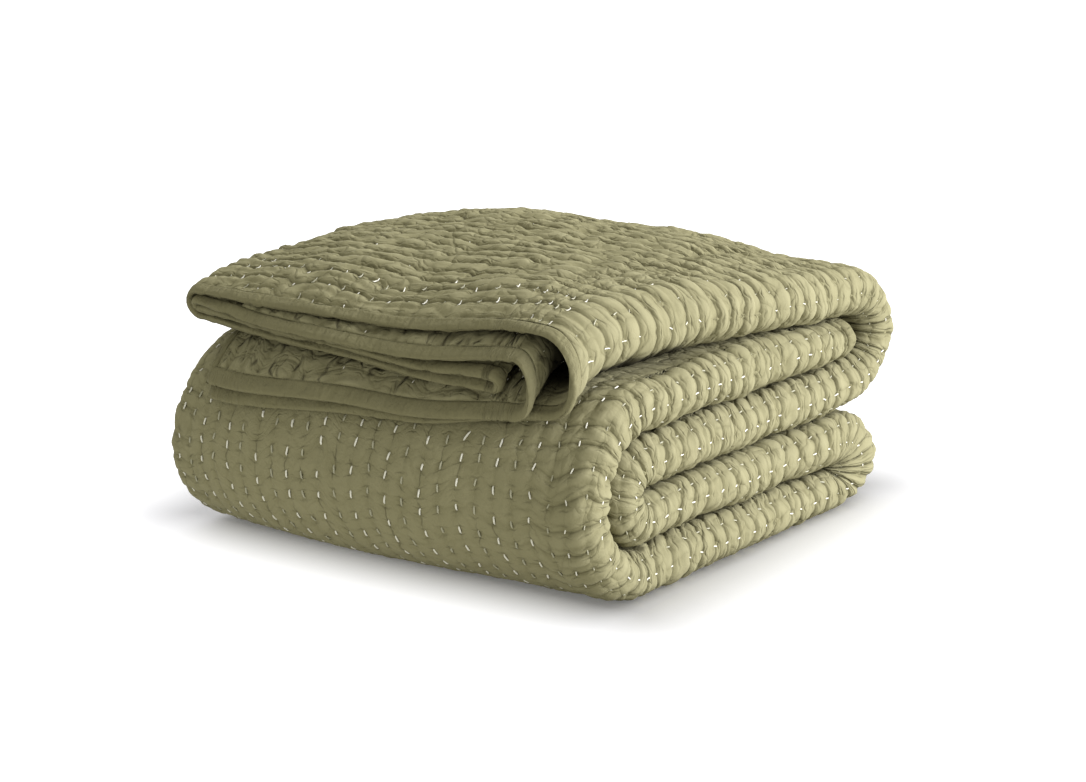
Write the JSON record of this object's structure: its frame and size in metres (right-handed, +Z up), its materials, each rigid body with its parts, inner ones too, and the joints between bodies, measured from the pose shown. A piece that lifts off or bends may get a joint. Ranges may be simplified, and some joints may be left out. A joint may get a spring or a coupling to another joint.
{
  "type": "folded quilt",
  "caption": "Hand-quilted cotton kantha bedspread with a bound edge, folded into a layered strip and then into a stack for the shelf.",
  "frame": {"origin": "on the floor under the middle of the folded stack's bounds", "axes": "+X from the hemmed side to the folded side with the rolled layers, +Y from the open front end to the back folds, +Z up"},
  "size_m": [0.4133, 0.4378, 0.2298],
  "materials": {
    "quilted_cotton": "matt washed cotton voile over cotton filling, sage green, hand quilted",
    "binding_cotton": "matt plain cotton in the same green, folded over the edge"
  },
  "bodies": {
    "root": {"quilt_body": "quilted_cotton", "edge_binding": "binding_cotton"}
  },
  "joints": []
}
